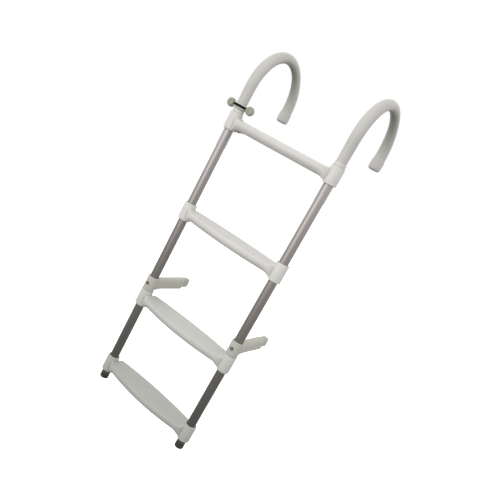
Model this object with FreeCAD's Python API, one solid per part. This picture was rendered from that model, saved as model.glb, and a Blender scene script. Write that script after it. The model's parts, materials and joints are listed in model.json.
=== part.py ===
import FreeCAD, Part
import math
import os

# Hook-on pool ladder, in millimetres. +Z is up, +Y points from the ladder towards the wall,
# +X runs along the steps. The origin is the hook seat: midway between the two hooks, at the
# inside of their crowns.

# ---- driving dimensions -------------------------------------------------------------------
RAIL_SPACING = 320.0     # centre to centre of the two rails
RAIL_OD = 25.0
RAIL_WALL = 1.5
HOOK_BEND = 118.0        # centre-line radius of each hook, rail side up to the crown
HOOK_BEND_OUT = 111.0    # and from the crown down to the free end
SLEEVE_WALL = 2.1        # pale sleeve over the hook tube, at the crown
HOOK_TAIL = 35.0         # straight free end below the bend
SEAT_DROP = 222.0        # hook seat down to the underside of the top collar
STEP_PITCHES = (268.0, 276.0, 231.0)
FOOT_DROP = 27.0         # underside of the lowest collar to the ground end
COLLAR_WALL = 5.0
COLLAR_H = 50.0
TOP_COLLAR_H = 46.0
TREAD_LOW = 8.0          # underside of the tread above the collar's lower end
TREAD_TOP = 33.3         # at the rails; the tread rises towards its rear edge
TREAD_TILT = 0.055
TREAD_FRONT = 40.0       # half depth in front of the rails, at mid span
TREAD_REAR = 45.0        # half depth behind the rails, at mid span
ARM_LEN = 175.0          # rail axis to the end of a stand-off
ARM_COLLAR_H = 42.0
ARM_W = 24.0
TIP_LEN = 32.0

# ---- derived ------------------------------------------------------------------------------
HALF = RAIL_SPACING / 2
RAIL_R = RAIL_OD / 2
RAIL_BORE = RAIL_R - RAIL_WALL
STEM_R = RAIL_BORE - 0.1            # hook tube turns inside the rail
STEM_BORE = STEM_R - 1.5
SLEEVE_R = STEM_R + SLEEVE_WALL
COLLAR_R = RAIL_R + COLLAR_WALL
RAIL_Y = -HOOK_BEND
BEND_Z = -(HOOK_BEND - SLEEVE_R)    # centre of the bend, below the seat
STEP_Z = [-SEAT_DROP]
for pitch in STEP_PITCHES:
    STEP_Z.append(STEP_Z[-1] - pitch)
FOOT_Z = STEP_Z[-1] - FOOT_DROP
TOP_Z = STEP_Z[0] + TOP_COLLAR_H    # top of the top collar
RAIL_TOP = TOP_Z + 6.0
BUSH_TOP = TOP_Z + 10.0
LOCK_Z = BUSH_TOP + 8.0             # mid height of the lock ring
ARM_Z0 = STEP_Z[2] + COLLAR_H       # the stand-off collar sits on the third step's collar
ARM_Z = ARM_Z0 + ARM_COLLAR_H / 2
SIDES = {"left": -1, "right": 1}

V = FreeCAD.Vector
UP = V(0, 0, 1)


def cyl(r, h, x, y, z, d=UP):
    return Part.makeCylinder(r, h, V(x, y, z), d)


def tube(r, bore, h, x, y, z):
    return cyl(r, h, x, y, z).cut(cyl(bore, h, x, y, z))


def box(x0, x1, y0, y1, z0, z1):
    return Part.makeBox(x1 - x0, y1 - y0, z1 - z0, V(x0, y0, z0))


def arc(a, b, c):
    return Part.Arc(V(*a), V(*b), V(*c)).toShape()


def line(a, b):
    return Part.makeLine(V(*a), V(*b))


def rounded(shape, radius, want):
    edges = [e for e in shape.Edges if want(e)]
    return shape.makeFillet(radius, edges) if edges else shape


def at_z(e, z):
    b = e.BoundBox
    return abs(b.ZMin - z) < 1e-6 and abs(b.ZMax - z) < 1e-6


def save(node, shape):
    shape = shape.removeSplitter()
    shape.exportStep("parts/" + node + ".step")


# ---- fixings ------------------------------------------------------------------------------
RIVET_R = 2.0
RIVET_HEAD_R = 4.0
RIVET_DROP = 14.0        # height of the rivet above a collar's lower end
PIN_DROP = 34.0          # height of the right hook's rivet above the top collar's lower end


def rivet(x, y, z, face, root, side):
    """Domed rivet through a collar along Y; side is +1 behind the ladder, -1 in front."""
    d = V(0, side, 0)
    shank = Part.makeCylinder(RIVET_R, face - root + 1.0, V(x, y + side * root, z), d)
    head = Part.makeCylinder(RIVET_HEAD_R, 2.2, V(x, y + side * (face - 0.6), z), d)
    far = y + side * (face + 1.6)
    head = rounded(head, 1.2, lambda e: abs(e.BoundBox.YMin - far) < 1e-6 and e.BoundBox.YLength < 1e-6)
    return shank.fuse(head)


# ---- rails and feet -----------------------------------------------------------------------
PLUG_HEAD = 16.0


def rear_hole(shape, x, z, r=RIVET_R, start=0.0):
    return shape.cut(Part.makeCylinder(r, 40.0, V(x, RAIL_Y + start, z), V(0, 1, 0)))


def rail(x):
    body = tube(RAIL_R, RAIL_BORE, RAIL_TOP - FOOT_Z - PLUG_HEAD, x, RAIL_Y, FOOT_Z + PLUG_HEAD)
    for z in STEP_Z:
        body = rear_hole(body, x, z + RIVET_DROP)
    return body


def foot(x):
    head = cyl(RAIL_R, PLUG_HEAD, x, RAIL_Y, FOOT_Z)
    head = rounded(head, 2.5, lambda e: at_z(e, FOOT_Z))
    stem = tube(RAIL_BORE, RAIL_BORE - 3.0, 22.0, x, RAIL_Y, FOOT_Z + PLUG_HEAD)
    return head.fuse(stem)


# ---- steps --------------------------------------------------------------------------------
END_X = HALF - COLLAR_R * 0.55     # tread ends inside the collar walls
SAG_FRONT = 21.0                   # how much the front edge bows out
SAG_REAR = 10.0
SKIN = 3.0
LEVELS = ((0.0, 15.0), (0.12, 11.0), (0.3, 6.5), (0.55, 2.6), (0.8, 0.5), (0.93, 0.0), (1.0, 1.8))


def lens(z, tilt, inset, skin=0.0):
    """Bowed outline of the tread in a plane that rises by tilt towards the rear."""
    f = TREAD_FRONT - inset - skin
    r = TREAD_REAR - inset - skin
    fe = f - SAG_FRONT
    re = r - SAG_REAR

    def at(x, y):
        return (x, RAIL_Y + y, z + tilt * y)

    x = END_X
    edges = [arc(at(-x, -fe), at(0, -f), at(x, -fe)), line(at(x, -fe), at(x, re)),
             arc(at(x, re), at(0, r), at(-x, re)), line(at(-x, re), at(-x, -fe))]
    return Part.Wire(edges)


def hull(z0, low, top, skin, levels):
    wires = [lens(z0 + low + (top - low) * t, TREAD_TILT * t, inset, skin) for t, inset in levels]
    return Part.makeLoft(wires, True, True)


def rivet_seat(shape, x, z):
    shape = rear_hole(shape, x, z)
    return rear_hole(shape, x, z, RIVET_HEAD_R, COLLAR_R - 0.6)


def gusset(side, z0, za, zb, reach, half):
    """Concave web from the collar wall out to the tread, below (za < zb) or above it."""
    xa = HALF - 8.0
    xb = xa - reach
    k = 0.2929
    mid = (xa - reach * k, zb + (za - zb) * k)
    pts = [arc((side * xa, 0, z0 + za), (side * mid[0], 0, z0 + mid[1]), (side * xb, 0, z0 + zb)),
           line((side * xb, 0, z0 + zb), (side * xb, 0, z0 + (TREAD_LOW + TREAD_TOP) / 2)),
           line((side * xb, 0, z0 + (TREAD_LOW + TREAD_TOP) / 2),
                (side * xa, 0, z0 + (TREAD_LOW + TREAD_TOP) / 2)),
           line((side * xa, 0, z0 + (TREAD_LOW + TREAD_TOP) / 2), (side * xa, 0, z0 + za))]
    face = Part.Face(Part.Wire(pts))
    face.translate(V(0, RAIL_Y - half, 0))
    return face.extrude(V(0, 2 * half, 0))


def step(collar_h):
    """A step with its lowest collar end at z = 0."""
    z0 = 0.0
    outer = hull(z0, TREAD_LOW, TREAD_TOP, 0.0, LEVELS)
    inner = hull(z0, TREAD_LOW - 1.0, TREAD_TOP - SKIN - 0.5, SKIN, LEVELS[:6])
    shell = outer.cut(inner)
    low, top = z0 + TREAD_LOW + 2, z0 + TREAD_TOP - 4
    web = box(-END_X, END_X, RAIL_Y - 1.0, RAIL_Y + 3.0, low, top)
    for i in range(-4, 5):
        x = i * 29.0
        web = web.fuse(box(x - 1.1, x + 1.1, RAIL_Y - 60, RAIL_Y + 60, low, top))
    shell = shell.fuse(web.common(outer))
    for s in (-1, 1):
        collar = cyl(COLLAR_R, collar_h, s * HALF, RAIL_Y, z0)
        collar = rounded(collar, 1.5, lambda e: at_z(e, z0) or at_z(e, z0 + collar_h))
        shell = shell.fuse([collar, gusset(s, z0, 1.5, TREAD_LOW, 30.0, 12.0),
                            gusset(s, z0, collar_h - 4.0, TREAD_TOP, 20.0, 12.0)])
    for s in (-1, 1):
        shell = shell.cut(cyl(RAIL_R, collar_h + 2, s * HALF, RAIL_Y, z0 - 1))
        shell = rivet_seat(shell, s * HALF, z0 + RIVET_DROP)
    return shell


# ---- hooks --------------------------------------------------------------------------------
OUT_Z = BEND_Z + HOOK_BEND - HOOK_BEND_OUT      # centre of the outer quarter's bend
OUT_Y = RAIL_Y + HOOK_BEND + HOOK_BEND_OUT      # axis of the free end
TAIL_Z = OUT_Z - HOOK_TAIL
STEM_LOW = RAIL_TOP - 62.0
CAP_H = 30.0
CAP_R = SLEEVE_R + 4.4
CAP_BORE = SLEEVE_R + 1.0
CAP_FLOOR = 5.0
COLLAR_SEAT_R = SLEEVE_R + 0.6                  # plain round length that the lock ring turns on
SEAT_TOP = LOCK_Z + 9.0
# what the sleeve adds to its crown radius, by angle round the bend from the rail side
SLEEVE_SHAPE = ((0, 1.3), (30, 1.8), (60, 1.0), (90, 0.0), (110, -0.4), (130, -0.3),
                (150, 0.9), (165, 1.8), (180, 2.5))


def bent(x, r, z_low, z_tail):
    """Solid round bar: up from z_low, over the crown in two quarter bends, down to z_tail."""
    disc = Part.Face(Part.Wire(Part.Circle(V(x, RAIL_Y, BEND_Z), UP, r).toShape()))
    first = disc.revolve(V(x, RAIL_Y + HOOK_BEND, BEND_Z), V(1, 0, 0), -90)
    crown = V(x, RAIL_Y + HOOK_BEND, BEND_Z + HOOK_BEND)
    disc = Part.Face(Part.Wire(Part.Circle(crown, V(0, 1, 0), r).toShape()))
    second = disc.revolve(V(x, RAIL_Y + HOOK_BEND, OUT_Z), V(1, 0, 0), -90)
    up = cyl(r, BEND_Z - z_low, x, RAIL_Y, z_low)
    down = cyl(r, OUT_Z - z_tail, x, OUT_Y, z_tail)
    return up.fuse([first, second, down])


def sleeve_radius(angle):
    for (a, ra), (b, rb) in zip(SLEEVE_SHAPE, SLEEVE_SHAPE[1:]):
        if a <= angle <= b:
            return SLEEVE_R + ra + (rb - ra) * (angle - a) / (b - a)


def ring_at(x, angle):
    """Circle round the sleeve at an angle about the bend, 0 on the rail side and 180 at the free end."""
    a = math.radians(angle)
    bend = HOOK_BEND if angle <= 90 else HOOK_BEND_OUT
    zc = BEND_Z if angle <= 90 else OUT_Z
    c = V(x, RAIL_Y + HOOK_BEND - bend * math.cos(a), zc + bend * math.sin(a))
    return Part.Wire(Part.Circle(c, V(0, math.sin(a), math.cos(a)), sleeve_radius(angle)).toShape())


def ring_down(x, y, z, r):
    return Part.Wire(Part.Circle(V(x, y, z), V(0, 0, 1 if y == RAIL_Y else -1), r).toShape())


def hook_tube(x):
    return bent(x, STEM_R, STEM_LOW, TAIL_Z + CAP_FLOOR).cut(
        bent(x, STEM_BORE, STEM_LOW - 1, TAIL_Z + CAP_FLOOR - 1))


def hook_sleeve(x):
    rings = [ring_down(x, RAIL_Y, SEAT_TOP, COLLAR_SEAT_R),
             ring_down(x, RAIL_Y, (SEAT_TOP + BEND_Z) / 2, SLEEVE_R + 1.1)]
    rings += [ring_at(x, a) for a in range(0, 181, 15)]
    rings.append(ring_down(x, OUT_Y, TAIL_Z + CAP_H, CAP_R - 1.2))
    body = Part.makeLoft(rings, True, False)
    body = body.fuse([cyl(COLLAR_SEAT_R, SEAT_TOP - BUSH_TOP, x, RAIL_Y, BUSH_TOP),
                      cyl(CAP_BORE, CAP_H - CAP_FLOOR, x, OUT_Y, TAIL_Z + CAP_FLOOR)])
    return body.cut(bent(x, STEM_R, BUSH_TOP - 1, TAIL_Z + CAP_FLOOR - 1))


def hook_cap(x):
    body = cyl(CAP_R, CAP_H, x, OUT_Y, TAIL_Z)
    body = rounded(body, 7.0, lambda e: at_z(e, TAIL_Z))
    body = rounded(body, 1.2, lambda e: at_z(e, TAIL_Z + CAP_H))
    return body.cut(cyl(CAP_BORE, CAP_H, x, OUT_Y, TAIL_Z + CAP_FLOOR))


def hook_bush(x):
    body = cyl(SLEEVE_R + 2.2, BUSH_TOP - TOP_Z, x, RAIL_Y, TOP_Z)
    body = rounded(body, 0.8, lambda e: at_z(e, BUSH_TOP))
    body = body.cut(cyl(RAIL_R, RAIL_TOP - TOP_Z, x, RAIL_Y, TOP_Z))
    return body.cut(cyl(RAIL_BORE, BUSH_TOP - TOP_Z, x, RAIL_Y, TOP_Z))


# ---- lock ring on the left hook --------------------------------------------------------------
HUB_R = COLLAR_SEAT_R + 3.4         # half depth of the oval hub
HUB_X = HUB_R + 3.5                 # half width of the oval hub
LOCK_H = 13.0
WING_X = HUB_X + 11.0
WING_R = 11.5
WING_T = 16.0
BAND_OUT = HUB_R + 1.0
BAND_T = 2.0
BAND_H = 5.0


def oval(x, z, half_w, r, h):
    """Upright block with straight sides and round ends."""
    off = half_w - r
    body = box(x - off, x + off, RAIL_Y - r, RAIL_Y + r, z, z + h)
    return body.fuse([cyl(r, h, x - off, RAIL_Y, z), cyl(r, h, x + off, RAIL_Y, z)]).removeSplitter()


def lock_band(x):
    z = LOCK_Z - BAND_H / 2
    return oval(x, z, HUB_X + 1.0, BAND_OUT, BAND_H).cut(
        oval(x, z - 1, HUB_X + 1.0 - BAND_T, BAND_OUT - BAND_T, BAND_H + 2))


def lock_ring(x):
    top, low = LOCK_Z + LOCK_H / 2, LOCK_Z - LOCK_H / 2
    body = oval(x, low, HUB_X, HUB_R, LOCK_H)
    body = rounded(body, 1.5, lambda e: at_z(e, top) or at_z(e, low))
    for s in (-1, 1):
        wing = Part.makeCylinder(WING_R, WING_T, V(x + s * WING_X, RAIL_Y - WING_T / 2, LOCK_Z), V(0, 1, 0))
        wing = wing.makeFillet(5.5, [e for e in wing.Edges if e.BoundBox.YLength < 1e-6])
        x0, x1 = sorted((x + s * (HUB_X - 3.0), x + s * WING_X))
        neck = box(x0, x1, RAIL_Y - 6.0, RAIL_Y + 6.0, LOCK_Z - 6.0, LOCK_Z + 6.0)
        body = body.fuse([wing, neck])
    body = body.cut(cyl(COLLAR_SEAT_R + 0.08, LOCK_H + 2, x, RAIL_Y, low - 1))
    return body.cut(lock_band(x))


# ---- stand-offs -----------------------------------------------------------------------------
ARM_COLLAR_R = COLLAR_R - 1.0
SCREW_R = 2.5
ARM_END = RAIL_Y + ARM_LEN - TIP_LEN
# along the arm from the rail axis: distance, width, top and underside above the screw's height
ARM_SHAPE = ((8.0, ARM_W + 3, 14.5, -20.0), (26.0, ARM_W + 1, 15.3, -16.5), (44.0, ARM_W, 16.0, -15.0),
             (ARM_LEN - TIP_LEN, ARM_W - 1, 19.5, -14.5))
# the same for the narrower tip
TIP_SHAPE = ((ARM_LEN - TIP_LEN, 20.5, 19.3, -8.0), (ARM_LEN - 9, 20.3, 19.6, -8.0),
             (ARM_LEN - 3, 18.0, 18.4, -6.5), (ARM_LEN, 13.0, 15.5, -3.5))


def arm_wire(x, s, w, top, low, c):
    """Upright outline across the arm at a distance s from the rail axis, corners rounded by c."""
    y = RAIL_Y + s
    x0, x1 = x - w / 2, x + w / 2
    z0, z1 = ARM_Z + low, ARM_Z + top
    k = c * (1 - math.sqrt(0.5))
    pts = [line((x0 + c, y, z1), (x1 - c, y, z1)),
           arc((x1 - c, y, z1), (x1 - k, y, z1 - k), (x1, y, z1 - c)),
           line((x1, y, z1 - c), (x1, y, z0 + c)),
           arc((x1, y, z0 + c), (x1 - k, y, z0 + k), (x1 - c, y, z0)),
           line((x1 - c, y, z0), (x0 + c, y, z0)),
           arc((x0 + c, y, z0), (x0 + k, y, z0 + k), (x0, y, z0 + c)),
           line((x0, y, z0 + c), (x0, y, z1 - c)),
           arc((x0, y, z1 - c), (x0 + k, y, z1 - k), (x0 + c, y, z1))]
    return Part.Wire(pts)


def spigot(x, over=0.0):
    return box(x - 6, x + 6, ARM_END - 14, ARM_END + over, ARM_Z + 3, ARM_Z + 14)


def standoff(x):
    collar = cyl(ARM_COLLAR_R, ARM_COLLAR_H, x, RAIL_Y, ARM_Z0)
    collar = rounded(collar, 1.5, lambda e: at_z(e, ARM_Z0) or at_z(e, ARM_Z0 + ARM_COLLAR_H))
    arm = Part.makeLoft([arm_wire(x, *at, 5.0) for at in ARM_SHAPE], True, True)
    body = collar.fuse(arm).cut(cyl(RAIL_R + 0.06, ARM_COLLAR_H + 2, x, RAIL_Y, ARM_Z0 - 1))
    body = body.cut(spigot(x, 1.0))
    body = body.cut(Part.makeCylinder(SCREW_R, 20, V(x, RAIL_Y, ARM_Z), V(0, -1, 0)))
    return body.cut(Part.makeCylinder(4.6, 5, V(x, RAIL_Y - ARM_COLLAR_R + 2.2, ARM_Z), V(0, -1, 0)))


def standoff_tip(x):
    body = Part.makeLoft([arm_wire(x, *at, 5.0) for at in TIP_SHAPE], True, True)
    return body.fuse(spigot(x))


def standoff_screw(x):
    head = Part.makeCylinder(4.6, 2.6, V(x, RAIL_Y - ARM_COLLAR_R + 2.2, ARM_Z), V(0, -1, 0))
    head = head.makeFillet(0.6, [e for e in head.Edges if e.BoundBox.YMax < RAIL_Y - ARM_COLLAR_R])
    shank = Part.makeCylinder(SCREW_R, ARM_COLLAR_R - 2.2 - RAIL_R - 0.3 + 1.0,
                              V(x, RAIL_Y - RAIL_R - 0.3, ARM_Z),
                              V(0, -1, 0))
    y = RAIL_Y - ARM_COLLAR_R - 0.4
    slot = box(x - 3.4, x + 3.4, y - 1, y + 0.9, ARM_Z - 0.6, ARM_Z + 0.6)
    cross = box(x - 0.6, x + 0.6, y - 1, y + 0.9, ARM_Z - 3.4, ARM_Z + 3.4)
    return head.fuse(shank).cut(slot.fuse(cross))


# ---- build ------------------------------------------------------------------------------------
os.makedirs("parts", exist_ok=True)

for name, s in SIDES.items():
    x = s * HALF
    pin = STEP_Z[0] + PIN_DROP
    save(name + "_rail", rear_hole(rail(x), x, pin) if s > 0 else rail(x))
    save(name + "_foot", foot(x))
    save(name + "_hook_tube", rear_hole(hook_tube(x), x, pin) if s > 0 else hook_tube(x))
    save(name + "_hook_sleeve", hook_sleeve(x))
    save(name + "_hook_cap", hook_cap(x))
    save(name + "_hook_bush", hook_bush(x))
    save(name + "_standoff", standoff(x))
    save(name + "_standoff_tip", standoff_tip(x))
    save(name + "_standoff_screw", standoff_screw(x))

plain_step = step(COLLAR_H)
top_step = rivet_seat(step(TOP_COLLAR_H), HALF, PIN_DROP)
for i, z in enumerate(STEP_Z):
    shape = (plain_step if i else top_step).copy()
    shape.translate(V(0, 0, z))
    save("step_%d" % (i + 1), shape)

rivets = [rivet(s * HALF, RAIL_Y, z + RIVET_DROP, COLLAR_R, RAIL_BORE + 0.3, 1)
          for z in STEP_Z for s in SIDES.values()]
save("step_rivets", Part.makeCompound(rivets))
save("right_hook_pin", rivet(HALF, RAIL_Y, STEP_Z[0] + PIN_DROP, COLLAR_R, STEM_BORE + 0.3, 1))

save("lock_ring", lock_ring(-HALF))
save("lock_band", lock_band(-HALF))
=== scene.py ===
import bmesh
import bpy
import json
import math
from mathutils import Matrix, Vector


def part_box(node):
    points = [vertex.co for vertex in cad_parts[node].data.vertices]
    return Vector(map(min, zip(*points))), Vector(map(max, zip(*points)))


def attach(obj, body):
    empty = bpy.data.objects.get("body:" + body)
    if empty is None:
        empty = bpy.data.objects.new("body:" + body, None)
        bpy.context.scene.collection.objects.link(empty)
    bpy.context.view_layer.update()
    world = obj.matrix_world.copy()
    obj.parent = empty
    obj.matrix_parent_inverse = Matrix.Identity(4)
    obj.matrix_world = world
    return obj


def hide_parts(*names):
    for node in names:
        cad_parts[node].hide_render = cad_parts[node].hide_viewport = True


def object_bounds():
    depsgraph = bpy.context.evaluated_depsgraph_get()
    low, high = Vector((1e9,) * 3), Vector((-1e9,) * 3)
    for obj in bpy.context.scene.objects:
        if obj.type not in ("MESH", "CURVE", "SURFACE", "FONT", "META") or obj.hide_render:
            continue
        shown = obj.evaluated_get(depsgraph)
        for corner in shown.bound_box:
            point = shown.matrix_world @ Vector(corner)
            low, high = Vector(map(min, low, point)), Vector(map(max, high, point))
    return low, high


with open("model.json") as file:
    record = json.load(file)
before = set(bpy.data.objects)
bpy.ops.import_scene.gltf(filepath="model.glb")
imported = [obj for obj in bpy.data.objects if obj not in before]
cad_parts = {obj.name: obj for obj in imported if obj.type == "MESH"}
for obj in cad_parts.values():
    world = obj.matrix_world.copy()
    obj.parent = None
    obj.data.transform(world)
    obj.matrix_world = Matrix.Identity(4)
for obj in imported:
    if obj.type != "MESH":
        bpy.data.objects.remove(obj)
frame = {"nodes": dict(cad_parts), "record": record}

# Hook-on pool ladder: detailed pieces over the CAD frame. +X runs along the steps, +Y points from the
# ladder towards the wall, +Z is up. Pieces are made in millimetres and scaled to metres.

CAD_BOX = [list(v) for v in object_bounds()]
scene = bpy.context.scene
scene.view_settings.view_transform = "Standard"

# ---- materials ------------------------------------------------------------------------------
WHITE = (1.0, 1.0, 1.0)
# painted shade: the colour that corners and crevices darken to
CORNER_SHADE = (0.62, 0.61, 0.58)
CORNER_SHADE_REACH = 0.006         # how far the painted corner shade spreads out of a corner
HUB_REACH = 0.0215          # the lock ring's hub, either side of the left rail's axis
CLOUD_SCALE = 9.0


def new_material(name):
    m = bpy.data.materials.new(name)
    m.use_nodes = True
    n = m.node_tree.nodes
    return m, n, m.node_tree.links, n["Principled BSDF"]


def noise(nodes, links, scale, detail, vector):
    t = nodes.new("ShaderNodeTexNoise")
    t.inputs["Scale"].default_value = scale
    t.inputs["Detail"].default_value = detail
    links.new(vector, t.inputs["Vector"])
    return t


def ramp(nodes, links, fac, stops):
    r = nodes.new("ShaderNodeValToRGB")
    e = r.color_ramp.elements
    while len(e) < len(stops):
        e.new(0.5)
    for i, (p, c) in enumerate(stops):
        e[i].position = p
        e[i].color = (*c, 1.0)
    links.new(fac, r.inputs["Fac"])
    return r.outputs["Color"]


def to_range(nodes, links, value, *limits):
    """Maps a value to another range: from low, from high, to low, to high."""
    r = nodes.new("ShaderNodeMapRange")
    for k, v in zip(("From Min", "From Max", "To Min", "To Max"), limits):
        r.inputs[k].default_value = v
    links.new(value, r.inputs["Value"])
    return r.outputs["Result"]


def multiply(nodes, links, a, b, fac=1.0):
    x = nodes.new("ShaderNodeMixRGB")
    x.blend_type = "MULTIPLY"
    x.inputs["Fac"].default_value = fac
    links.new(a, x.inputs["Color1"])
    links.new(b, x.inputs["Color2"])
    return x.outputs["Color"]


def height_of(nodes, links, vector, low, high):
    """0 at the low height and 1 at the high one, in metres."""
    axes = nodes.new("ShaderNodeSeparateXYZ")
    links.new(vector, axes.inputs["Vector"])
    return to_range(nodes, links, axes.outputs["Z"], low, high, 0.0, 1.0)


def relief(nodes, links, height, shader, strength, depth):
    """Bump of a given depth in metres."""
    b = nodes.new("ShaderNodeBump")
    b.inputs["Strength"].default_value = strength
    b.inputs["Distance"].default_value = depth
    links.new(height, b.inputs["Height"])
    links.new(b.outputs["Normal"], shader.inputs["Normal"])


def plastic(name, light, dark, rough=0.45, grain=1800.0, grain_h=0.00004, height_shade=None, down_shade=None,
            hub=None):
    """Moulded plastic: cloudy colour, fine grain and painted shade in the corners. The low-end tint paints
    shade at the low end, the down-facing one paints shade on faces that look down, and hub the colour within
    HUB_REACH of the left rail."""
    m, n, l, p = new_material(name)
    pos = n.new("ShaderNodeTexCoord").outputs["Object"]
    big = noise(n, l, CLOUD_SCALE, 3.0, pos)
    colour = ramp(n, l, big.outputs["Fac"], ((0.3, dark), (0.7, light)))
    # painted shade: ambient occlusion darkens the colour in corners and crevices
    corner = n.new("ShaderNodeAmbientOcclusion")
    corner.samples = 4
    corner.inputs["Distance"].default_value = CORNER_SHADE_REACH
    corner_shade = ramp(n, l, corner.outputs["AO"], ((0.35, CORNER_SHADE), (0.85, WHITE)))
    colour = multiply(n, l, colour, corner_shade)
    if hub:
        place = n.new("ShaderNodeSeparateXYZ")
        l.new(pos, place.inputs["Vector"])
        off = n.new("ShaderNodeMath")
        off.operation = "COMPARE"
        off.inputs[1].default_value = (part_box("lock_band")[0][0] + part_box("lock_band")[1][0]) / 2
        off.inputs[2].default_value = HUB_REACH
        l.new(place.outputs["X"], off.inputs[0])
        pick = n.new("ShaderNodeMixRGB")
        l.new(off.outputs["Value"], pick.inputs["Fac"])
        l.new(colour, pick.inputs["Color1"])
        pick.inputs["Color2"].default_value = (*hub, 1.0)
        colour = pick.outputs["Color"]
    # painted shade: faces that look down are darkened
    if down_shade:
        down = height_of(n, l, n.new("ShaderNodeNewGeometry").outputs["Normal"], -0.95, 0.1)
        colour = multiply(n, l, colour, ramp(n, l, down, ((0.0, down_shade), (1.0, WHITE))))
    # painted shade: darker towards the bottom of the ladder, where the light falls off
    if height_shade:
        h = height_of(n, l, n.new("ShaderNodeNewGeometry").outputs["Position"], -1.0, -0.15)
        colour = multiply(n, l, colour, ramp(n, l, h, ((0.0, height_shade), (0.52, WHITE))))
    l.new(colour, p.inputs["Base Color"])
    fine = noise(n, l, grain, 2.0, pos)
    l.new(to_range(n, l, fine.outputs["Fac"], 0.3, 0.7, rough - 0.05, rough + 0.06), p.inputs["Roughness"])
    relief(n, l, fine.outputs["Fac"], p, 0.6, grain_h)
    return m


def metal(name, stops, rough=0.34):
    """Drawn tube: long fine lines along Z, colour stops by height."""
    m, n, l, p = new_material(name)
    pos = n.new("ShaderNodeTexCoord").outputs["Object"]
    # colour by height; the rails' stops paint shade, darker towards the bottom
    base = ramp(n, l, height_of(n, l, pos, -1.03, 0.03), stops)
    stretch = n.new("ShaderNodeMapping")
    stretch.inputs["Scale"].default_value = (1.0, 1.0, 0.012)
    l.new(pos, stretch.inputs["Vector"])
    lines = noise(n, l, 2200.0, 3.0, stretch.outputs["Vector"])
    streaks = ramp(n, l, lines.outputs["Fac"], ((0.3, (0.78, 0.78, 0.78)), (0.7, WHITE)))
    l.new(multiply(n, l, base, streaks, 0.35), p.inputs["Base Color"])
    p.inputs["Metallic"].default_value = 1.0
    l.new(to_range(n, l, lines.outputs["Fac"], 0.3, 0.7, rough - 0.06, rough + 0.08), p.inputs["Roughness"])
    relief(n, l, lines.outputs["Fac"], p, 0.25, 0.00003)
    return m


# painted shade: the rails' colour darkens towards the bottom, where less light falls
RAIL_SHADE_STOPS = ((0.0, (0.15, 0.147, 0.135)), (0.35, (0.232, 0.214, 0.20)), (0.62, (0.335, 0.31, 0.298)),
              (0.85, (0.475, 0.45, 0.44)))
MAT = {
    # the treads' low-end tint is painted shade, darker and greener towards the bottom step
    "step_plastic": plastic("step_plastic", (0.62, 0.605, 0.57), (0.585, 0.57, 0.54), 0.45,
                            height_shade=(0.655, 0.69, 0.665)),
    "anodised_aluminium": metal("anodised_aluminium", RAIL_SHADE_STOPS, 0.46),
    "hook_tube_aluminium": metal("hook_tube_aluminium", ((0.0, (0.6, 0.6, 0.6)), (1.0, (0.65, 0.65, 0.65)))),
    # the sleeve's down-facing tint is painted shade under the hook's bends
    "hook_sleeve_pvc": plastic("hook_sleeve_pvc", (0.54, 0.525, 0.495), (0.505, 0.49, 0.46), 0.42, 900.0,
                               0.00002, down_shade=(0.52, 0.51, 0.47)),
    "hook_cap_plastic": plastic("hook_cap_plastic", (0.56, 0.545, 0.515), (0.52, 0.505, 0.475), 0.45),
    "bush_plastic": plastic("bush_plastic", (0.62, 0.60, 0.565), (0.58, 0.56, 0.53), 0.4),
    "standoff_plastic": plastic("standoff_plastic", (0.47, 0.465, 0.41), (0.43, 0.425, 0.375), 0.5),
    "standoff_tip_rubber": plastic("standoff_tip_rubber", (0.43, 0.425, 0.365), (0.39, 0.385, 0.33), 0.6),
    "lock_plastic": plastic("lock_plastic", (0.33, 0.335, 0.245), (0.27, 0.275, 0.20), 0.5,
                            hub=(0.52, 0.505, 0.46)),
    "band_rubber": plastic("band_rubber", (0.006, 0.006, 0.0055), (0.004, 0.004, 0.004), 0.8),
    "foot_rubber": plastic("foot_rubber", (0.03, 0.028, 0.026), (0.02, 0.02, 0.018), 0.6),
    "rivet_steel": metal("rivet_steel", ((0.0, (0.45, 0.44, 0.43)), (1.0, (0.5, 0.5, 0.5))), 0.3),
    "screw_steel": metal("screw_steel", ((0.0, (0.035, 0.033, 0.03)), (1.0, (0.045, 0.04, 0.038))), 0.5),
}

MAT["band_rubber"].node_tree.nodes["Principled BSDF"].inputs["Specular IOR Level"].default_value = 0.15

for part in frame["record"]["subparts"]:
    for s in frame["nodes"][part["node"]].material_slots:
        s.material = MAT[part["material_slot"]]

# ---- mesh tools, in millimetres ---------------------------------------------------------------
MM = 0.001


def ease(t):
    t = min(max(t, 0.0), 1.0)
    return t * t * (3 - 2 * t)


def smooth_through(keys, s):
    """Value at s of a smooth curve through (s, value) keys."""
    if s <= keys[0][0]:
        return keys[0][1]
    for i in range(len(keys) - 1):
        (a, va), (b, vb) = keys[i], keys[i + 1]
        if s <= b:
            ka = (vb - keys[i - 1][1]) / (b - keys[i - 1][0]) if i else (vb - va) / (b - a)
            kb = (keys[i + 2][1] - va) / (keys[i + 2][0] - a) if i + 2 < len(keys) else (vb - va) / (b - a)
            t, d = (s - a) / (b - a), b - a
            return ((2 * t ** 3 - 3 * t * t + 1) * va + (t ** 3 - 2 * t * t + t) * d * ka
                    + (3 * t * t - 2 * t ** 3) * vb + (t ** 3 - t * t) * d * kb)
    return keys[-1][1]


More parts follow.
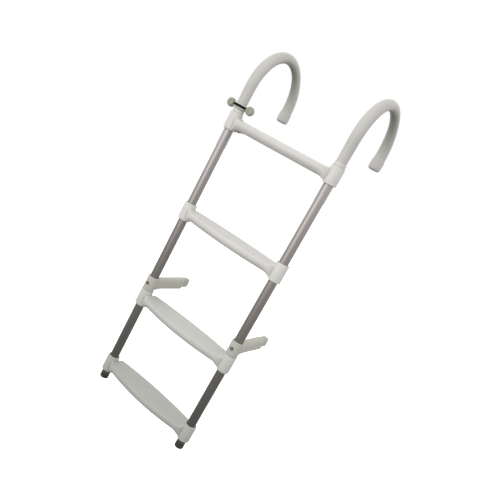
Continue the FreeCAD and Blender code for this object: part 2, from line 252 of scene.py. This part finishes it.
def soften(points, closed=False, n=5):
    """A path from (u, v, radius) corners, each corner rounded by its radius."""
    out = []
    for i, (u, v, r) in enumerate(points):
        p = Vector((u, v))
        if not r or (not closed and i in (0, len(points) - 1)):
            out.append(p)
            continue
        a = (Vector(points[i - 1][:2]) - p).normalized()
        b = (Vector(points[(i + 1) % len(points)][:2]) - p).normalized()
        half = a.angle(b) / 2
        c = p + (a + b).normalized() * (r / math.sin(half))
        s, e = p + a * (r / math.tan(half)) - c, p + b * (r / math.tan(half)) - c
        turn = math.pi - 2 * half
        if s.x * e.y - s.y * e.x < 0:
            turn = -turn
        for q in (turn * j / n for j in range(n + 1)):
            x = s.x * math.cos(q) - s.y * math.sin(q)
            y = s.x * math.sin(q) + s.y * math.cos(q)
            out.append(c + Vector((x, y)))
    return out


def angles(n, start=0.0):
    """n directions evenly round a circle."""
    return [2 * math.pi * (i + start) / n for i in range(n)]


class Shape:
    """Collects shells and becomes one mesh piece."""

    def __init__(self):
        self.v, self.f = [], []

    def grid(self, rings, wrap=False):
        """Faces between neighbouring rings of points: closed into a loop, or shut by its first and last."""
        base, n, k = len(self.v), len(rings[0]), len(rings)
        for ring in rings:
            self.v += [Vector(p) * MM for p in ring]
        for i in range(k if wrap else k - 1):
            for j in range(n):
                a, b = base + i * n, base + (i + 1) % k * n
                self.f.append((a + j, a + (j + 1) % n, b + (j + 1) % n, b + j))
        if not wrap:
            self.f.append(tuple(base + j for j in reversed(range(n))))
            self.f.append(tuple(base + (k - 1) * n + j for j in range(n)))
        return self

    def lathe(self, profile, centre, axis="z", turns=64, bored=False):
        """Profile of (radius, height) points turned about an axis along Z or Y through centre."""
        rings = []
        for q in angles(turns):
            ring = []
            for r, h in profile:
                u, w = r * math.cos(q), r * math.sin(q)
                d = (u, w, h) if axis == "z" else (u, h, w)
                ring.append(Vector(centre) + Vector(d))
            rings.append(ring)
        if bored:
            return self.grid(rings, wrap=True)
        base, n = len(self.v), len(profile)
        for ring in rings:
            self.v += [p * MM for p in ring]
        for i in range(turns):
            a, b = base + i * n, base + (i + 1) % turns * n
            self.f += [(a + j, a + j + 1, b + j + 1, b + j) for j in range(n - 1)]
        return self

    def slab(self, outline, x0, x1):
        """A flat plate: an outline of (y, z) points given thickness along X."""
        return self.grid([[(x, y, z) for y, z in outline] for x in (x0, x1)])

    def mesh(self, name, sharp=34.0):
        """The finished mesh, smooth shaded up to edges of sharp degrees."""
        me = bpy.data.meshes.new(name)
        me.from_pydata(self.v, [], self.f)
        bm = bmesh.new()
        bm.from_mesh(me)
        bmesh.ops.remove_doubles(bm, verts=bm.verts, dist=2e-7)
        bmesh.ops.recalc_face_normals(bm, faces=bm.faces)
        bm.to_mesh(me)
        bm.free()
        me.shade_smooth()
        me.set_sharp_from_angle(angle=math.radians(sharp))
        return me


def piece(name, me, slot, body, node, at=(0, 0, 0)):
    """A mesh becomes a piece of the object, riding on a body in place of a CAD node."""
    o = bpy.data.objects.new(name, me)
    o.location = Vector(at) * MM
    scene.collection.objects.link(o)
    if not me.materials:
        me.materials.append(MAT[slot])
    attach(o, body)
    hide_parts(node)


def size_of(node):
    lo, hi = (Vector(v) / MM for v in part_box(node))
    return lo, hi, (lo + hi) / 2


# ---- rails and feet -----------------------------------------------------------------------------
TUBE_WALL = 1.5
FOOT_H, PLUG_H = 15.9, 30.0         # visible height of a foot, and the height with its stem in the rail
GROOVE_LOW, GROOVE_TOP = 6.0, 8.2   # the fine groove round a foot

RAIL = {}
for side in ("left", "right"):
    lo, hi, mid = size_of(side + "_rail")
    RAIL[side] = mid
    rail_r = (hi.x - lo.x) / 2
    tube = soften([(rail_r, lo.z, 0.5), (rail_r, hi.z, 0.5), (rail_r - TUBE_WALL, hi.z, 0.4),
                   (rail_r - TUBE_WALL, lo.z, 0.4)], True, 3)
    name = side + "_rail_tube"
    piece(name, Shape().lathe(tube, (mid.x, mid.y, 0), turns=96, bored=True).mesh(name),
          "anodised_aluminium", "ladder", side + "_rail")
    low = size_of(side + "_foot")[0].z
    r = rail_r + 0.1                # a foot stands just proud of its rail
    plug = [(0, low + 1.2, 0), (r - 5.1, low + 1.2, 1.5), (r - 3.7, low, 1.0), (r, low, 2.4),
            (r, low + GROOVE_LOW, 0.5), (r - 0.6, low + GROOVE_LOW + 0.6, 0.3),
            (r - 0.6, low + GROOVE_TOP - 0.6, 0.3), (r, low + GROOVE_TOP, 0.5),
            (r, low + FOOT_H, 0.6), (r - 1.7, low + FOOT_H, 0), (r - 1.7, low + PLUG_H, 0),
            (0, low + PLUG_H, 0)]
    name = side + "_foot_plug"
    piece(name, Shape().lathe(soften(plug, n=4), (mid.x, mid.y, 0)).mesh(name), "foot_rubber", "ladder",
          side + "_foot")
HALF = RAIL["right"].x
AXIS_Y = RAIL["right"].y

# ---- steps ---------------------------------------------------------------------------------------
# Heights are above the collar's lower end, depths are from the rails' axes, distances along from mid span.
LOW, TOP, TILT = 8.0, 33.3, 0.055   # tread's underside, its top edge and the rise towards the rear
FRONT, REAR = 40.0, 45.0            # depth at mid span
SAG_FRONT, SAG_REAR = 21.0, 10.0    # how much less deep the tread is at its ends
LIP, SKIN = 2.3, 3.0                # radius of the top edge and thickness of the skirt
CROWN, SINK = 0.5, 0.4              # how far the top is domed from front to rear, and set down
END_X = HALF - 9.6                  # the tread ends inside the collar's wall
TUCK, TUCK_END = 14.5, 5.0          # how far the skirt leans in at its foot, at mid span and at the ends
TUCK_RUN = 28.0                     # the lean changes over this length
TUCK_TOP = 0.93                     # share of the height where the skirt is upright again
CORNER, CORNER_REAR = 7.0, 16.0     # length of the rounded rear corner, and the depth left at its end
TAPER_X, TAPER = 134.0, 6.0         # the front edge draws in beside the collar
RISE_X, RISE = 128.0, 10.0          # the top sweeps up to the collar
DROP_X, DROP = 122.0, 6.3           # and the underside down
CEILING = TOP - 4.8                 # of the channel under the tread
RIB_LOW = LOW + 2.2
RIB_PITCH, RIB_HALF = 29.0, 1.1
CHANNEL_POINTS = 15                 # the last points of a section, round the channel
COLLAR_R, COLLAR_BORE = 17.5, 12.52


def near_end(a, start, power):
    """0 up to start, then growing to 1 at the tread's end."""
    return max(0.0, (a - start) / (END_X - start)) ** power


def tread_section(x):
    """One section of the tread: a closed loop of (y, z) round the outer face and the channel under it."""
    a = abs(x)
    front = FRONT - SAG_FRONT * (a / END_X) ** 2 - TAPER * near_end(a, TAPER_X, 2)
    rear = REAR - SAG_REAR * (a / END_X) ** 2
    corner = max(0.0, (a - END_X + CORNER) / CORNER)
    rear -= (rear - CORNER_REAR) * (1 - math.sqrt(max(1 - corner ** 2, 0.0)))
    rise = RISE * near_end(a, RISE_X, 2.2)
    low = LOW - DROP * near_end(a, DROP_X, 2)
    tuck = TUCK - (TUCK - TUCK_END) * ease((a - DROP_X) / TUCK_RUN)

    def top_at(y):
        dome = CROWN * (1 - (y / REAR) ** 2)
        return TOP + TILT * y + dome - SINK + rise * (1 - ease((abs(y) - 8.0) / 13.0))

    def inset(t):
        return tuck * (1 - t / TUCK_TOP) ** 3 if t < TUCK_TOP else 0.0

    def wall(direction, reach, thick, shares):
        """Points up the skirt, at shares of its height."""
        height = TOP + TILT * direction * reach - LIP - low
        return [(direction * (reach - inset(t) - thick), low + t * height) for t in shares]

    def lip(direction, reach, degrees):
        """Points round the top edge."""
        out = []
        for q in (math.radians(d) for d in degrees):
            y = direction * (reach - LIP + LIP * math.cos(q))
            out.append((y, top_at(y) - LIP + LIP * math.sin(q)))
        return out

    shares = [0.05, 0.12, 0.2, 0.3, 0.4, 0.5, 0.6, 0.7, 0.8, 0.9, 1.0]
    arc = (20, 40, 60, 80)
    foot = rear - inset(0)
    loop = [(foot - 1.5, low), (foot - 0.6, low + 0.25)] + wall(1, rear, 0.0, shares) + lip(1, rear, arc)
    y0, y1 = rear - LIP, -(front - LIP)
    for k in range(17):
        y = y0 + (y1 - y0) * k / 16
        loop.append((y, top_at(y)))
    loop += lip(-1, front, reversed(arc)) + wall(-1, front, 0.0, reversed(shares))
    foot = -(front - inset(0))
    loop += [(foot + 0.6, low + 0.25), (foot + 1.5, low)]

    shut = ease((a - (END_X - 4.0)) / 1.5)

    def close(y, z):
        """The channel closes downwards at the tread's ends."""
        return y, z + (low + 0.6 - z) * shut

    mid_y = (rear - front) / 2
    inner = [0.06, 0.2, 0.35, 0.5, 0.65, 0.8]
    ahead = [close(min(y, mid_y - 0.5), z) for y, z in wall(-1, front, SKIN, inner)]
    behind = [close(max(y, mid_y + 0.5), z) for y, z in wall(1, rear, SKIN, reversed(inner))]
    roof = [close(ahead[-1][0] + 1.2, CEILING + 0.9), close(mid_y, CEILING + 1.2),
            close(behind[0][0] - 1.2, CEILING + 0.9)]
    return loop + ahead + roof + behind


def step_mesh(name, collar_h):
    """A tread with its ribs and its two collars, the rails' axes at y = 0."""
    s = Shape()
    stations = [i * 6.0 for i in range(19)] + [110.0 + i * 2.0 for i in range(19)]
    stations += [147.2, 148.0, 148.8, 149.4, 149.8, 150.1, END_X]
    stations = sorted(set([-v for v in stations] + stations))
    s.grid([[(x, y, z) for y, z in tread_section(x)] for x in stations])
    for i in range(-4, 5):
        x = i * RIB_PITCH
        channel = tread_section(x)[-CHANNEL_POINTS:]
        s.slab([(y * 1.01, max(z, RIB_LOW)) for y, z in channel], x - RIB_HALF, x + RIB_HALF)
    s.slab([(-1.0, RIB_LOW), (3.0, RIB_LOW), (2.6, TOP - 3.0), (-0.6, TOP - 3.0)], -END_X + 6.0, END_X - 6.0)
    collar = soften([(COLLAR_BORE, 0.0, 0.5), (COLLAR_R, 0.0, 1.8), (COLLAR_R, collar_h, 1.8),
                     (COLLAR_BORE, collar_h, 0.5)], True, 5)
    for k in (-1, 1):
        s.lathe(collar, (k * HALF, 0, 0), turns=72, bored=True)
    return s.mesh(name, 38.0)


STEP_MESH = {}                      # one mesh for each collar height
for i in range(1, 5):
    lo, hi, mid = size_of("step_%d" % i)
    collar_h = round(hi.z - lo.z, 1)
    if collar_h not in STEP_MESH:
        STEP_MESH[collar_h] = step_mesh("tread_%d" % i, collar_h)
    piece("step_%d_tread" % i, STEP_MESH[collar_h], "step_plastic", "ladder", "step_%d" % i,
          (0, AXIS_Y, lo.z))

# ---- hooks -----------------------------------------------------------------------------------------
# (distance along the hook from its bush, radius of the grip)
GRIP = ((0.0, 13.6), (12.0, 13.6), (30.0, 13.8), (61.0, 14.3), (123.0, 14.8), (185.0, 14.0), (246.4, 13.0),
        (285.0, 12.6), (324.0, 12.7), (362.0, 13.9), (391.0, 14.9), (420.8, 15.6), (428.0, 16.1))
GRIP_RINGS, GRIP_POINTS = 120, 48
BUSH_BORE = 11.0
BEND_Z = -105.0                     # centre of the bend on the rail's side
BEND_IN = -AXIS_Y                   # its radius: the crown is over y = 0


def hook_path(s, base, bend_out):
    """Centre and outward direction, in (y, z), at a distance s along the hook from its bush."""
    if s <= BEND_Z - base:
        return (AXIS_Y, base + s), (-1.0, 0.0)
    s -= BEND_Z - base
    if s <= BEND_IN * math.pi / 2:
        q = s / BEND_IN
        out = (-math.cos(q), math.sin(q))
        return (AXIS_Y + BEND_IN + BEND_IN * out[0], BEND_Z + BEND_IN * out[1]), out
    s -= BEND_IN * math.pi / 2
    out_z = BEND_Z + BEND_IN - bend_out
    if s <= bend_out * math.pi / 2:
        q = s / bend_out
        out = (math.sin(q), math.cos(q))
        return (AXIS_Y + BEND_IN + bend_out * out[0], out_z + bend_out * out[1]), out
    s -= bend_out * math.pi / 2
    return (AXIS_Y + BEND_IN + bend_out, out_z - s), (1.0, 0.0)


def hook_grip(name, x, base, bend_out, end_z):
    """The sleeve from its bush to just inside the end cap."""
    straight = BEND_Z - base + BEND_Z + BEND_IN - bend_out - end_z
    length = straight + (BEND_IN + bend_out) * math.pi / 2 + 3.0
    rings = []
    for i in range(GRIP_RINGS + 1):
        s = length * i / GRIP_RINGS
        (y, z), (ny, nz) = hook_path(s, base, bend_out)
        r = smooth_through(GRIP, s)
        rings.append([(x + r * math.sin(q), y + r * ny * math.cos(q), z + r * nz * math.cos(q))
                      for q in angles(GRIP_POINTS)])
    return Shape().grid(rings).mesh(name, 60.0)


def hook_end(name, x, lo, hi, y):
    """Rounded cup over the hook's free end."""
    r = (hi.x - lo.x) / 2
    cup = [(0, lo.z, 0), (r - 0.5, lo.z, 7.5), (r, lo.z + 12.0, 3.0), (r, hi.z - 0.2, 2.2),
           (r - 1.5, hi.z + 0.2, 0.6), (r - 3.5, hi.z - 1.0, 0), (0, hi.z - 1.0, 0)]
    return Shape().lathe(soften(cup, n=8), (x, y, 0), turns=72).mesh(name)


def bush(name, x, lo, hi):
    r = (hi.x - lo.x) / 2
    ring = [(BUSH_BORE, lo.z, 0.3), (r, lo.z, 0.5), (r, hi.z - 2.6, 0.6), (r - 0.7, hi.z, 0.9),
            (BUSH_BORE, hi.z, 0.3)]
    return Shape().lathe(soften(ring, True, 4), (x, AXIS_Y, 0), turns=72, bored=True).mesh(name)


for side in ("left", "right"):
    body = "left_hook" if side == "left" else "ladder"
    x = RAIL[side].x
    bush_lo, bush_hi, _ = size_of(side + "_hook_bush")
    cap_lo, cap_hi, cap_mid = size_of(side + "_hook_cap")
    piece(side + "_hook_grip", hook_grip(side + "_hook_grip", x, bush_hi.z, cap_mid.y, cap_hi.z),
          "hook_sleeve_pvc", body, side + "_hook_sleeve")
    piece(side + "_hook_end", hook_end(side + "_hook_end", x, cap_lo, cap_hi, cap_mid.y),
          "hook_cap_plastic", body, side + "_hook_cap")
    piece(side + "_bush", bush(side + "_bush", x, bush_lo, bush_hi), "bush_plastic", "ladder",
          side + "_hook_bush")

# ---- lock ring ---------------------------------------------------------------------------------------
LOCK_LO, LOCK_HI, LOCK = size_of("lock_ring")
HUB_HALF_Y = (LOCK_HI.y - LOCK_LO.y) / 2
HUB_HALF_X = HUB_HALF_Y + 3.5
RING_HALF_H, GROOVE_HALF_H, GROOVE_DEPTH = 6.5, 3.3, 0.9
RING_BORE, STRAP_BORE = 13.7, 14.6
STRAP_HALF_H, STRAP_PROUD = 3.1, 1.0
LOBE_R = 11.5


def stadium(half_x, half_y, n=96):
    """Points round an oval with straight sides, evenly spaced by length."""
    off, bend = half_x - half_y, math.pi * half_y
    total = 4 * off + 2 * bend
    out = []
    for i in range(n):
        s = (total * i / n + bend / 2) % total
        k = 1 if s < total / 2 else -1      # the second half of the way round mirrors the first
        s %= total / 2
        q = s / half_y - math.pi / 2
        x, y = (off + half_y * math.cos(q), half_y * math.sin(q)) if s < bend else (off + bend - s, half_y)
        out.append((k * x, k * y))
    return out


def oval_ring(shape, outline, bore):
    """Ring with an oval outside and a round bore; outline is (grow, height) points of the outer wall."""
    rings = []
    for x, y in stadium(HUB_HALF_X, HUB_HALF_Y):
        q = math.atan2(y, x)
        d = Vector((x, y)).normalized()
        ring = [(LOCK.x + x + d.x * g, AXIS_Y + y + d.y * g, LOCK.z + h) for g, h in outline]
        ring += [(LOCK.x + bore * math.cos(q), AXIS_Y + bore * math.sin(q), LOCK.z + h)
                 for h in (outline[-1][1], outline[0][1])]
        rings.append(ring)
    shape.grid(rings, wrap=True)


def wing(shape, k):
    """A neck and a round lobe on one side of the hub."""
    reach = LOCK_HI.x - LOCK.x - LOBE_R
    neck = []
    for t in range(9):
        u = t / 8
        half = 6.2 - 1.2 * math.sin(math.pi * u) + 0.8 * u
        x = LOCK.x + k * (HUB_HALF_Y + 0.3 + (reach - HUB_HALF_Y - 2.5) * u)
        neck.append([(x, AXIS_Y + half * math.cos(q) * 1.05, LOCK.z + half * math.sin(q))
                     for q in angles(28)])
    shape.grid(neck)
    lobe = [(0, -7.1, 0), (3.6, -7.1, 1.5), (5.2, -8.0, 1.6), (LOBE_R, -8.0, 5.6)]
    lobe += [(r, -h, c) for r, h, c in reversed(lobe)]
    shape.lathe(soften(lobe, n=8), (LOCK.x + k * reach, AXIS_Y, LOCK.z), axis="y", turns=56)


hub = Shape()
wall = [(-2.5, -RING_HALF_H, 0), (0.0, -RING_HALF_H, 2.0), (0.0, -GROOVE_HALF_H, 0.4),
        (-GROOVE_DEPTH, -GROOVE_HALF_H, 0)]
wall += [(g, -h, c) for g, h, c in reversed(wall)]
oval_ring(hub, soften(wall, n=4), RING_BORE)
for k in (-1, 1):
    wing(hub, k)
piece("lock_wing_ring", hub.mesh("lock_wing_ring", 50.0), "lock_plastic", "lock", "lock_ring")

strap = Shape()
band = [(-GROOVE_DEPTH, -STRAP_HALF_H, 0), (STRAP_PROUD, -STRAP_HALF_H, 1.0),
        (STRAP_PROUD, STRAP_HALF_H, 1.0), (-GROOVE_DEPTH, STRAP_HALF_H, 0)]
oval_ring(strap, soften(band, n=5), STRAP_BORE)
piece("lock_strap", strap.mesh("lock_strap", 50.0), "band_rubber", "lock", "lock_band")

# ---- stand-offs ---------------------------------------------------------------------------------------
# (distance from the rail's axis, width, top and bottom above the arm's middle)
ARM = ((8.0, 27.0, 14.5, -20.0), (18.0, 26.4, 14.8, -18.6), (30.0, 25.0, 15.4, -16.2),
       (46.0, 24.2, 16.0, -15.0), (80.0, 23.8, 17.1, -14.7), (143.0, 23.0, 19.5, -14.5))
TIP = ((141.0, 20.4, 19.2, -7.9), (150.0, 20.5, 19.4, -8.0), (166.0, 20.3, 19.6, -8.0),
       (170.5, 19.8, 19.4, -7.6), (173.0, 18.0, 18.6, -6.6), (174.4, 15.4, 17.2, -5.2),
       (175.0, 11.4, 15.0, -3.0))
ARM_STATIONS = [8 + i * 3.0 for i in range(45)] + [142.0]
ARM_END = ((142.5, 0.15), (142.9, 0.6), (143.0, 1.2), (142.6, 3.0))     # (distance, how far it is drawn in)
TIP_STATIONS = [141.0 + i * 2.5 for i in range(12)]
TIP_STATIONS += [169.5, 170.6, 171.6, 172.6, 173.6, 174.4, 174.8, 175.0]
CORNER_POWER = 4.2                  # 2 would be an ellipse, more is squarer
ARM_HALF_H = 21.0                   # of the collar
ARM_BORE, ARM_R = 12.6, 16.5
BOSS_Y = 13.4                       # the screw's boss starts this far in front of the rail's axis
BOSS_BORE = 4.75


def block_ring(keys, s, x, z, shrink=0.0, n=44):
    """Ring round the arm's soft-cornered oblong section, at a distance s along it."""
    w, top, low = (smooth_through([(key[0], key[i]) for key in keys], s) for i in (1, 2, 3))
    w, top, low = w - 2 * shrink, top - shrink, low + shrink
    out = []
    for q in angles(n, 0.5):
        c, d = (math.copysign(abs(v) ** (2 / CORNER_POWER), v) for v in (math.cos(q), math.sin(q)))
        out.append((x + w / 2 * c, AXIS_Y + s, z + (top + low) / 2 + (top - low) / 2 * d))
    return out


for side in ("left", "right"):
    x = RAIL[side].x
    z = size_of(side + "_standoff")[0].z + ARM_HALF_H
    arm = Shape().grid([block_ring(ARM, s, x, z) for s in ARM_STATIONS]
                       + [block_ring(ARM, s, x, z, shrink) for s, shrink in ARM_END])
    collar = [(ARM_BORE, -ARM_HALF_H, 0.5), (ARM_R, -ARM_HALF_H, 1.8), (ARM_R, ARM_HALF_H, 1.8),
              (ARM_BORE, ARM_HALF_H, 0.5)]
    arm.lathe(soften(collar, True, 5), (x, AXIS_Y, z), turns=72, bored=True)
    boss = [(BOSS_BORE, 1.0, 0.2), (BOSS_BORE, 3.6, 0.3), (6.3, 3.6, 0.9), (7.4, 1.0, 0)]
    arm.lathe([(r, -h) for r, h in soften(boss, True, 3)], (x, AXIS_Y - BOSS_Y, z), axis="y", turns=40,
              bored=True)
    piece(side + "_arm_block", arm.mesh(side + "_arm_block", 40.0), "standoff_plastic", side + "_arm",
          side + "_standoff")
    tip = Shape().grid([block_ring(TIP, s, x, z) for s in TIP_STATIONS])
    piece(side + "_arm_tip", tip.mesh(side + "_arm_tip", 60.0), "standoff_tip_rubber", side + "_arm",
          side + "_standoff_tip")

# ---- floor ---------------------------------------------------------------------------------------
FLOOR_SIZE, FLOOR_GAP = 60.0, 0.45          # metres; the ladder hangs, so the floor lies well below it

material, nodes, links, shader = new_material("floor_pale")
cloud = noise(nodes, links, 0.8, 2.0, nodes.new("ShaderNodeTexCoord").outputs["Object"])
links.new(ramp(nodes, links, cloud.outputs["Fac"], ((0.3, (0.93, 0.93, 0.93)), (0.7, (0.95, 0.95, 0.95)))),
          shader.inputs["Base Color"])
shader.inputs["Roughness"].default_value = 0.9
shader.inputs["Emission Color"].default_value = (*WHITE, 1.0)
shader.inputs["Emission Strength"].default_value = 0.45
bpy.ops.mesh.primitive_plane_add(size=FLOOR_SIZE, location=(0, 0, CAD_BOX[0][2] - FLOOR_GAP))
floor = bpy.context.object
floor.name = "floor"
floor.data.materials.append(material)
floor.visible_diffuse = False       # its bounce would wash out the shading under the treads and hooks
floor.visible_glossy = False

# ---- light ---------------------------------------------------------------------------------------
# soft surround: bright above and to the front left, dim from below
UP_DIM, UP_BRIGHT = 1.0, 1.25       # away from and towards BRIGHT_SIDE
BRIGHT_SIDE = (-0.72, -0.62, 0.3)
NADIR, SKIRT = 0.18, 0.92           # straight below, and just below the horizon
KEY_POWER, KEY_SIZE = 2.7, 0.7
KEY_FROM, KEY_AT = Vector((-0.12, -1.1, -0.3)), Vector((0, -0.1, -0.25))

world = bpy.data.worlds.new("studio")
world.use_nodes = True
nodes, links = world.node_tree.nodes, world.node_tree.links
direction = nodes.new("ShaderNodeTexCoord").outputs["Generated"]
axes = nodes.new("ShaderNodeSeparateXYZ")
links.new(direction, axes.inputs["Vector"])
facing = nodes.new("ShaderNodeVectorMath")
facing.operation = "DOT_PRODUCT"
facing.inputs[1].default_value = Vector(BRIGHT_SIDE).normalized()
links.new(direction, facing.inputs[0])
level = nodes.new("ShaderNodeMix")
links.new(to_range(nodes, links, axes.outputs["Z"], -0.06, -0.055, 0.0, 1.0), level.inputs["Factor"])
links.new(to_range(nodes, links, axes.outputs["Z"], -0.9, -0.05, NADIR, SKIRT), level.inputs["A"])
links.new(to_range(nodes, links, facing.outputs["Value"], 0.0, 1.0, UP_DIM, UP_BRIGHT), level.inputs["B"])
links.new(level.outputs["Result"], nodes["Background"].inputs["Strength"])
nodes["Background"].inputs["Color"].default_value = (*WHITE, 1.0)
scene.world = world

key_data = bpy.data.lights.new("key", "AREA")
key_data.shape = "DISK"
key_data.size = KEY_SIZE
key_data.energy = KEY_POWER
key = bpy.data.objects.new("key", key_data)
scene.collection.objects.link(key)
key.location = KEY_FROM
key.rotation_euler = (KEY_AT - KEY_FROM).to_track_quat("-Z", "Y").to_euler()
key.visible_camera = False

# ---- camera ---------------------------------------------------------------------------------------
camera_data = bpy.data.cameras.new("camera")
camera_data.sensor_width = 36.0
camera_data.lens = 37.9
camera_data.shift_x = 0.032
camera_data.shift_y = 0.072
camera_data.clip_start = 0.05
camera = bpy.data.objects.new("camera", camera_data)
scene.collection.objects.link(camera)
camera.location = (0.6342, -1.3165, -0.2231)
camera.rotation_euler = tuple(math.radians(a) for a in (73.763, -28.019, 32.927))
scene.camera = camera
